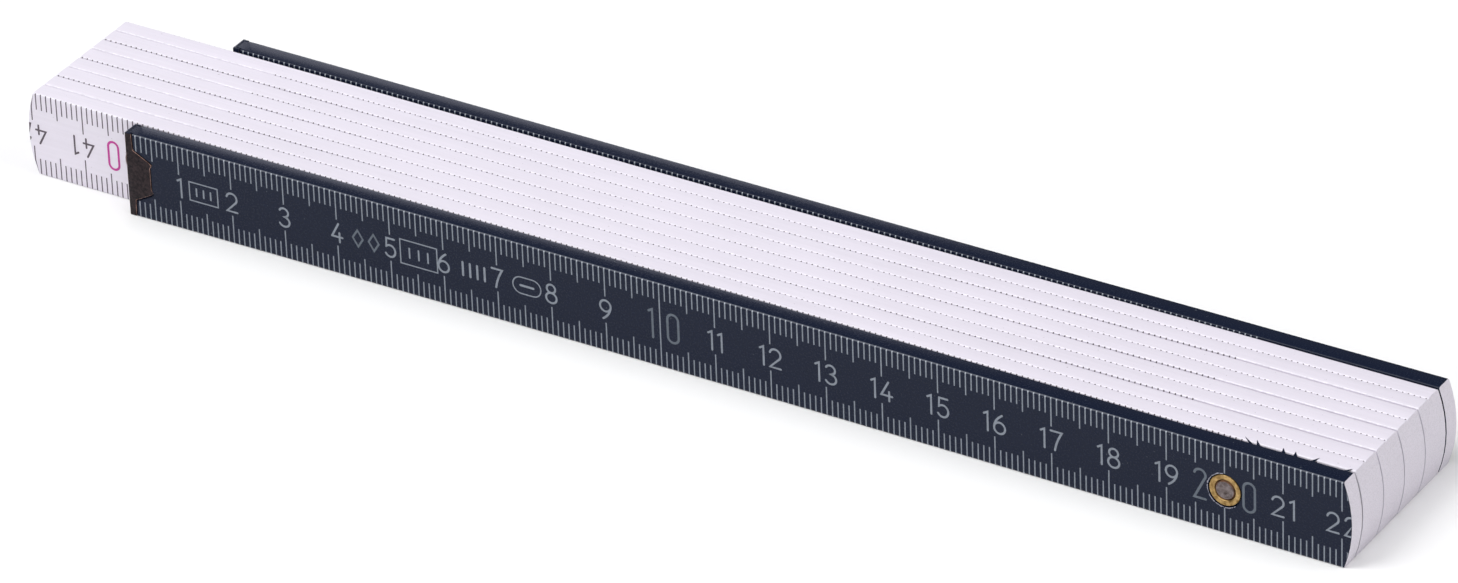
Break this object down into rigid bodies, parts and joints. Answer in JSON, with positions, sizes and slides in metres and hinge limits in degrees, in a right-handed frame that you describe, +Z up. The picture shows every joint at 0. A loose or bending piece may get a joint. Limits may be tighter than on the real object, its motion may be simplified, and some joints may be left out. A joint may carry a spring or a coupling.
{
  "type": "folding rule",
  "caption": "Wooden folding rule: flat painted slats stacked on edge and pivoted end to end, so the folded bundle opens out into one long straight measuring rule.",
  "frame": {"origin": "middle of the folded bundle's underside, midway between the two rows of pivots", "axes": "+X along the slats, away from the zero end of the scale; +Y through the stack from the first slat to the last; +Z up, across the width of the slats"},
  "size_m": [0.2434, 0.0334, 0.0152],
  "materials": {
    "black_painted_wood": "satin paint",
    "white_painted_wood": "satin paint",
    "dark_cap_metal": "darkened",
    "spring_steel": "satin",
    "plate_steel": "satin",
    "brass": "satin",
    "pin_steel": "turned"
  },
  "bodies": {
    "body_section_1": {"section_1": "black_painted_wood", "zero_end_cap": "dark_cap_metal", "spring_plate_1": "spring_steel", "pivot_bush_1": "brass", "rivet_pin_1": "pin_steel"},
    "body_section_2": {"section_2": "white_painted_wood", "spring_plate_2": "spring_steel", "pivot_bush_2": "brass", "rivet_pin_2": "pin_steel", "detent_plate_1": "plate_steel"},
    "body_section_3": {"section_3": "white_painted_wood", "spring_plate_3": "spring_steel", "pivot_bush_3": "brass", "rivet_pin_3": "pin_steel", "detent_plate_2": "plate_steel"},
    "body_section_4": {"section_4": "white_painted_wood", "spring_plate_4": "spring_steel", "pivot_bush_4": "brass", "rivet_pin_4": "pin_steel", "detent_plate_3": "plate_steel"},
    "body_section_5": {"section_5": "white_painted_wood", "spring_plate_5": "spring_steel", "pivot_bush_5": "brass", "rivet_pin_5": "pin_steel", "detent_plate_4": "plate_steel"},
    "body_section_6": {"section_6": "white_painted_wood", "spring_plate_6": "spring_steel", "pivot_bush_6": "brass", "rivet_pin_6": "pin_steel", "detent_plate_5": "plate_steel"},
    "body_section_7": {"section_7": "white_painted_wood", "spring_plate_7": "spring_steel", "pivot_bush_7": "brass", "rivet_pin_7": "pin_steel", "detent_plate_6": "plate_steel"},
    "body_section_8": {"section_8": "white_painted_wood", "spring_plate_8": "spring_steel", "pivot_bush_8": "brass", "rivet_pin_8": "pin_steel", "detent_plate_7": "plate_steel"},
    "body_section_9": {"section_9": "white_painted_wood", "spring_plate_9": "spring_steel", "pivot_bush_9": "brass", "rivet_pin_9": "pin_steel", "detent_plate_8": "plate_steel"},
    "body_section_10": {"section_10": "black_painted_wood", "far_end_cap": "dark_cap_metal", "detent_plate_9": "plate_steel"}
  },
  "joints": [
    {"name": "pivot_1_2", "type": "hinge", "parent": "body_section_1", "child": "body_section_2", "pos_m": [0.1, -0.0134, 0.0076], "axis": [0, 1, 0], "range_deg": [-180, 180]},
    {"name": "pivot_2_3", "type": "hinge", "parent": "body_section_2", "child": "body_section_3", "pos_m": [-0.1, -0.01005, 0.0076], "axis": [0, -1, 0], "range_deg": [-180, 180]},
    {"name": "pivot_3_4", "type": "hinge", "parent": "body_section_3", "child": "body_section_4", "pos_m": [0.1, -0.0067, 0.0076], "axis": [0, 1, 0], "range_deg": [-180, 180]},
    {"name": "pivot_4_5", "type": "hinge", "parent": "body_section_4", "child": "body_section_5", "pos_m": [-0.1, -0.00335, 0.0076], "axis": [0, -1, 0], "range_deg": [-180, 180]},
    {"name": "pivot_5_6", "type": "hinge", "parent": "body_section_5", "child": "body_section_6", "pos_m": [0.1, 0, 0.0076], "axis": [0, 1, 0], "range_deg": [-180, 180]},
    {"name": "pivot_6_7", "type": "hinge", "parent": "body_section_6", "child": "body_section_7", "pos_m": [-0.1, 0.00335, 0.0076], "axis": [0, -1, 0], "range_deg": [-180, 180]},
    {"name": "pivot_7_8", "type": "hinge", "parent": "body_section_7", "child": "body_section_8", "pos_m": [0.1, 0.0067, 0.0076], "axis": [0, 1, 0], "range_deg": [-180, 180]},
    {"name": "pivot_8_9", "type": "hinge", "parent": "body_section_8", "child": "body_section_9", "pos_m": [-0.1, 0.01005, 0.0076], "axis": [0, -1, 0], "range_deg": [-180, 180]},
    {"name": "pivot_9_10", "type": "hinge", "parent": "body_section_9", "child": "body_section_10", "pos_m": [0.1, 0.0134, 0.0076], "axis": [0, 1, 0], "range_deg": [-180, 180]}
  ]
}
